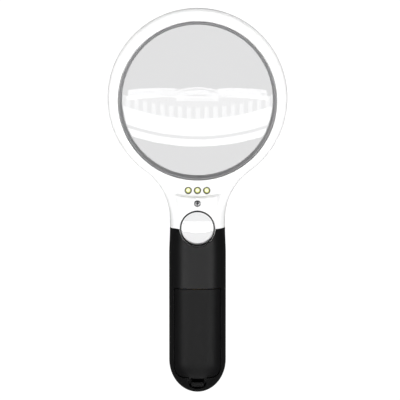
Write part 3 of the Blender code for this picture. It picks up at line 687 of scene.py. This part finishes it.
for i, x in enumerate((-LED_PITCH, 0.0, LED_PITCH)):
    arc = [math.pi / 2 * k / 10 for k in range(10, -1, -1)]
    dome = [(1.5 * math.sin(a), -1.5 + 1.5 * math.cos(a)) for a in arc]
    profile = [(0, -5.4), (1.8, -5.4), (1.9, -5.3), (1.9, -4.5), (1.8, -4.4), (1.5, -4.4)] + dome
    lamp = revolve(f"lamp_{i + 1}", profile, segments=48)
    lamp.matrix_world = lamp_frame(x)
    dress(lamp, lamp_glass_painted_glow_and_shade, "body", "led_epoxy", f"led_{i + 1}", angle=40)

# %% [markdown]
# Screws: a domed head with a cross recess that narrows as it goes down, on a plain shank. One function makes
# all six, head up or head down.


# %% Screws
def cross_screw(name, x, y, z_head, z_tip, head_r, stands_for, metal=screw_metal):
    up = 1.0 if z_tip > z_head else -1.0
    length = abs(z_tip - z_head)
    profile = [(0, 0), (head_r * 0.5, 0.05), (head_r * 0.82, 0.2), (head_r * 0.97, 0.42), (head_r, 0.65),
               (head_r * 0.98, 0.88), (0.9, 1.3), (0.9, length - 0.9), (0.3, length), (0, length)]
    part = revolve(name, [(r, z_head + up * z) for r, z in profile], (x, y), 48)
    for wide, deep in ((0.72, 0.35), (0.5, 0.7)):
        low, high = sorted((z_head - up, z_head + up * deep))
        w, n = wide * head_r, 0.17 * head_r
        cut(part, block(x - w, x + w, y - n, y + n, low, high), block(x - n, x + n, y - w, y + w, low, high))
    return dress(part, metal, "body", "screw_steel", stands_for, angle=30)


cross_screw("screw_in_neck", 0.0, NECK_SCREW_Y, 20.5, 3.0, 1.35, "neck_screw", neck_metal_painted_shade)
for i, (x, y, top) in enumerate(BACK_SCREWS):
    cross_screw(f"screw_in_back_{i + 1}", x, y, 0.6, top, 1.9, f"back_screw_{i + 1}")

# %% [markdown]
# The parts inside show when the battery door is open, and the switch shows from the back. Their CAD shapes are
# right as they are, so they only get their finishes.

# %% Finishes for the parts inside
inside = {"front_holder": black_inside, "rear_holder": black_inside, "switch_thumb": ring_grey,
          "switch_lever": black_inside, "switch_housing": black_inside, "led_board": board_green, **covers}
contacts = ("spring", "front_pad", "front_link", "rear_link", "rear_pad")
inside.update({name: contact_metal for name in nodes if name.startswith(contacts)})
inside.update({f"battery_cell_{i}": sleeve for i in (1, 2, 3)})
inside.update({f"resistor_{i}": resistor_coat for i in (1, 2, 3)})
for name, material in inside.items():
    part = nodes[name]
    part.material_slots[0].material = material
print("finished", len(inside), "inner parts")

# %% [markdown]
# White plastic, black plastic and clear acrylic ask for different rooms, so the floor answers each kind of ray
# in its own way. The camera sees it white, and so does any ray that has crossed a lens. Dull surfaces get a pale
# bounce from it. Glossy ones meet it nearly black, which keeps the sides of the black handle dark. The world does
# the same: white to the camera, dim to the rest. This is a studio trick and not how one real sheet behaves.

# %% Floor and world
FLOOR_HALF, FLOOR_Z = 3000, -0.2
floor_corners = [(x * FLOOR_HALF, y * FLOOR_HALF, FLOOR_Z) for x, y in ((-1, -1), (1, -1), (1, 1), (-1, 1))]
floor = build("floor", floor_corners, [(0, 1, 2, 3)])
floor_paint, shader, place = finish("floor_paper", Base_Color=(0.03, 0.03, 0.03), Roughness=0.9)


def ray_kind(number):
    """What a ray has done: 0 came from the camera, 2 bounced off something dull, 13 counts clear surfaces crossed."""
    return place.node("ShaderNodeLightPath", None, None, out=number)


sheet_seen = place.node("ShaderNodeEmission", None, {"Color": (1.0, 1.0, 1.0, 1.0), "Strength": 1.08})
sheet_under_lens = place.node("ShaderNodeEmission", None, {"Color": (1.0, 1.0, 1.0, 1.0), "Strength": 1.05})
sheet_bounce = place.node("ShaderNodeBsdfDiffuse", None, {"Color": (0.8, 0.8, 0.8, 1.0)})
mix = Signal(place.tree, shader.outputs[0])
for kind, look in ((2, sheet_bounce), (13, sheet_under_lens), (0, sheet_seen)):
    mix = place.node("ShaderNodeMixShader", None, {0: ray_kind(kind), 1: mix, 2: look})
place.tree.links.new(mix.socket, place.tree.nodes["Material Output"].inputs["Surface"])
floor.data.materials.append(floor_paint)

world = bpy.data.worlds.new("studio")
scene.world = world
world.use_nodes = True
backdrop = world.node_tree.nodes["Background"]
backdrop.inputs["Color"].default_value = (1.0, 1.0, 1.0, 1.0)
sky_ray = world.node_tree.nodes.new("ShaderNodeLightPath")
sky = Signal(world.node_tree, sky_ray.outputs["Is Camera Ray"])
sky.feed(backdrop.inputs["Strength"], 0.12 + sky * 0.96)
print("floor and world ready")

# %% [markdown]
# The light comes from soft boxes on spheres round the object. One wide box hangs overhead, a little towards the
# handle, and low ones reach the white sides. Most are hidden from gloss, or each would show as a bright oblong in
# the lens. The two side boxes and the one over the tail do show, and give the black plastic its sheen.


# %% Soft boxes
def soft_box(name, aim, angle_x, angle_y, distance, width, height, power):
    """A diffusing box on a sphere round the aim; it lights, but no gloss mirrors it."""
    lamp = bpy.data.lights.new(name, "AREA")
    lamp.shape, lamp.size, lamp.size_y, lamp.energy = "RECTANGLE", width, height, power
    box = bpy.data.objects.new(name, lamp)
    scene.collection.objects.link(box)
    a, b = math.radians(angle_x), math.radians(angle_y)
    away = Vector((math.tan(a), math.tan(b), 1.0)).normalized()
    box.location = aim + away * distance
    box.rotation_euler = (-away).to_track_quat("-Z", "Y").to_euler()
    box.visible_glossy = box.visible_transmission = False
    return box


middle = Vector((0.0, 0.03, 0.012))
over_tail = Vector((0.0, -0.082, 0.02))
soft_box("over_box", middle, 0.0, -12.0, 0.9, 1.1, 0.5, 4.1)
soft_box("head_box", middle, 0.0, 50.0, 1.2, 1.1, 0.6, 1.0)
soft_box("top_low_box", middle, 0.0, 74.0, 1.2, 1.0, 0.5, 4.0)
for side, angle in (("left", -1.0), ("right", 1.0)):
    soft_box(side + "_box", middle, 56.0 * angle, -8.0, 1.1, 0.7, 0.9, 0.6).visible_glossy = True
    soft_box(side + "_low_box", middle, 76.0 * angle, 0.0, 1.1, 0.5, 0.9, 3.0)
soft_box("tail_box", over_tail, 0.0, -46.0, 1.0, 0.9, 0.4, 3.4).visible_glossy = True

# %% [markdown]
# What the lens mirrors is a bank of ceiling panels: a long bright trough, a thinner one beside it, and a row of
# small tubes, all bowed a little. The bank is laid out in lens millimetres, which are the places on the lens where
# each panel appears, and one scale takes it up to the ceiling. The lens's flat top face shows it upright; its
# steep underside shows it again, small and upside down, as one pale stripe.

# %% The bank of panels
CEILING, BANK_SCALE, BANK_Y = 1500.0, 10.6, -27.8
glow_finish = {}


def panel(name, x0, x1, top, bottom, glow, bow_top=0.0045, bow_low=0.0045, steps=24, flare=0.0):
    """A bowed strip of light, given in lens millimetres."""
    xs = [x0 + (x1 - x0) * i / steps for i in range(steps + 1)]
    points = []
    for x in xs:
        bend = min(x * x, 1369.0)
        widen = flare * max(0.0, abs(x) - 37.0)
        for y in (top + bow_top * bend, bottom + bow_low * bend - widen):
            points.append((x * BANK_SCALE, BANK_Y + BANK_SCALE * y, CEILING))
    made = build(name, points, [(2 * i, 2 * i + 1, 2 * i + 3, 2 * i + 2) for i in range(steps)])
    if glow not in glow_finish:
        glow_finish[glow] = finish(f"glow_{len(glow_finish)}", Base_Color=(0.0, 0.0, 0.0), Specular_IOR_Level=0.0,
                                   Emission_Color=(1.0, 1.0, 1.0), Emission_Strength=glow)[0]
    made.data.materials.append(glow_finish[glow])
    made.visible_camera = made.visible_shadow = False
    return made


panel("veil", -37, 37, 2.0, -3.4, 3.4, 0.0, 0.0045)
for i in range(35):
    panel(f"tube_{i}", -37.0 + 2.114 * i, -37.0 + 2.114 * (i + 1), -3.4, -8.8, 5.4 if i % 2 else 3.2, steps=1)
panel("trough", -37, 37, -8.8, -17.2, 8.6)
panel("gap", -37, 37, -17.2, -18.8, 2.5)
panel("thin_trough", -37, 37, -18.8, -22.3, 8.4)
for side, x0, x1 in (("left", -230, -37), ("right", 37, 230)):
    panel(side + "_wing", x0, x1, -6.0, -20.8, 9.0, 0.0, 0.0, flare=0.094)
print("bank hung, levels of glow:", sorted(glow_finish))

# %% [markdown]
# The camera looks almost straight down, leaning a few degrees from the head's side. Its lens follows from how
# wide a strip it should take in at the distance it stands, so moving it back wouldn't change the framing.

# %% The camera
camera_data = bpy.data.cameras.new("camera")
camera = bpy.data.objects.new("camera", camera_data)
scene.collection.objects.link(camera)
lean = math.radians(5.0)
aim = Vector((0.0012, 0.0008, 0.0150))
distance = 1.3
away = Vector((0.0, math.sin(lean), math.cos(lean)))
camera.location = aim + away * distance
camera.rotation_euler = (-lean, 0.0, 0.0)
SENSOR, STRIP = 36.0, 0.1906
camera_data.lens = SENSOR * distance / STRIP
camera_data.clip_start, camera_data.clip_end = 0.05, 20.0
scene.camera = camera
print("camera", [round(v, 3) for v in camera.location], "lens", round(camera_data.lens, 1))
